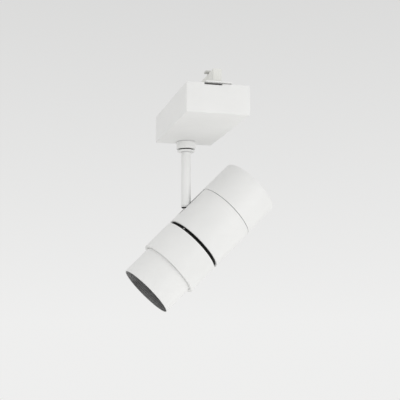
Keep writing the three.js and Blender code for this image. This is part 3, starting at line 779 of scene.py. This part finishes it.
def add_cell(work, y, z, cell, wall, back, front):
    """One six-sided tube of the honeycomb."""
    outer_r = cell + wall / math.sqrt(3)
    loops = []
    for radius, x in ((outer_r, back), (outer_r, front), (cell, front), (cell, back)):
        loops.append([
            work.verts.new((x, y + radius * math.cos(a), z + radius * math.sin(a)))
            for a in (math.pi / 6 + math.pi / 3 * k for k in range(6))
        ])
    for low, high in zip(loops, [*loops[1:], loops[0]]):
        for k in range(6):
            n = (k + 1) % 6
            work.faces.new((low[k], low[n], high[n], high[k]))


def make_lens():
    """Plano-convex lens."""
    back, front = head_span("lens")
    radius = reach("lens", AXIS, HEAD_ORIGIN)
    edge = back + 2.3 * MM
    profile = [(back, 0.0), (back, radius), (edge, radius)]
    for k in range(1, 25):
        angle = math.pi / 2 * k / 24
        profile.append((edge + (front - edge) * math.sin(angle), radius * math.cos(angle)))
    profile[-1] = (front, 0.0)
    piece("condenser_lens", turn(profile, 128, closed=False), "lens_carriage", "glass", ["lens"], HEAD_SPACE)


def make_reflector():
    """Bell reflector, a thin shell that widens towards the lens."""
    back, front = head_span("reflector")
    throat, mouth, wall = 12 * MM, 29 * MM, 1 * MM
    outer, inner = [], []
    for k in range(17):
        t = k / 16
        along = back + (front - back) * t
        radius = throat + (mouth - throat) * math.sin(t * math.pi / 2)
        outer.append((along, radius + wall))
        inner.insert(0, (along, radius))
    piece("bell_reflector", turn([*outer, *inner], 72), "head", "mirror", ["reflector"], HEAD_SPACE)


def finish_cad_nodes():
    """CAD nodes that stay: each gets the finish of its slot."""
    slots = {row["node"]: row["material_slot"] for row in frame["record"]["subparts"]}
    for name, node in frame["nodes"].items():
        node.data.materials.clear()
        node.data.materials.append(FINISH[slots[name]])


# ---- Stage ------------------------------------------------------------------------------------------

def make_stage():
    """Pale floor well below the lamp."""
    work = bmesh.new()
    bmesh.ops.create_grid(work, x_segments=2, y_segments=2, size=FLOOR_HALF)
    mesh = bpy.data.meshes.new("floor")
    work.to_mesh(mesh)
    work.free()
    floor = bpy.data.objects.new("floor", mesh)
    floor.location.z = cad_box[0][2] - FLOOR_DROP
    bpy.context.scene.collection.objects.link(floor)
    pale = surface("pale_floor", (0.90, 0.90, 0.89), (0.93, 0.93, 0.92), (0.7, 0.85), 60, 0.05)
    mesh.materials.append(pale)


def aim(thing, target):
    thing.rotation_euler = (Vector(target) - thing.location).to_track_quat("-Z", "Y").to_euler()


def add_softbox(name, place, size, power, target):
    light = bpy.data.lights.new(name, "AREA")
    light.shape = "DISK"
    light.size = size
    light.energy = power
    lamp = bpy.data.objects.new(name, light)
    lamp.location = place
    aim(lamp, target)
    bpy.context.scene.collection.objects.link(lamp)


def light_scene():
    """A bright studio, lightest near the horizon and overhead, with three soft lights."""
    world = bpy.data.worlds.new("studio")
    bpy.context.scene.world = world
    world.use_nodes = True
    tree = world.node_tree
    direction = tree.nodes.new("ShaderNodeTexCoord").outputs["Generated"]
    height = tree.nodes.new("ShaderNodeSeparateXYZ")
    tree.links.new(direction, height.inputs["Vector"])
    stops = [(0.0, (0.86, 0.86, 0.855)), (0.37, (0.71, 0.71, 0.705)), (0.65, (0.84, 0.84, 0.83))]
    shade = ramp(tree, height.outputs["Z"], stops)
    background = tree.nodes["Background"]
    tree.links.new(shade, background.inputs["Color"])
    background.inputs["Strength"].default_value = 1.0
    middle = (0.0, 0.0, -0.17)
    add_softbox("key", (1.3, -1.8, -0.45), 1.8, 11.0, middle)
    add_softbox("fill", (-1.3, -1.3, 0.3), 1.4, 3.0, middle)
    add_softbox("bounce", (0.3, 0.1, -1.0), 1.2, 1.6, middle)
    bpy.context.scene.view_settings.view_transform = "Standard"


def make_camera():
    """Below the lamp, looking slightly up along the track, a little from its left."""
    yaw, pitch = math.radians(CAMERA_YAW), math.radians(CAMERA_PITCH)
    forward = Vector((math.sin(yaw) * math.cos(pitch), math.cos(yaw) * math.cos(pitch), math.sin(pitch)))
    camera = bpy.data.cameras.new("camera")
    camera.sensor_width = 36.0
    camera.lens = 74.7
    holder = bpy.data.objects.new("camera", camera)
    holder.location = CAMERA_PLACE
    holder.rotation_euler = forward.to_track_quat("-Z", "Y").to_euler()
    bpy.context.scene.collection.objects.link(holder)
    bpy.context.scene.camera = holder


make_camera()
finish_cad_nodes()
make_gear_box()
make_adapter()
make_lever()
make_swivel()
make_stem()
make_rear_housing()
make_rear_cap()
make_core_ring()
make_pivot()
make_front_barrel()
make_snoot()
make_louvre()
make_lens()
make_reflector()
make_stage()
light_scene()
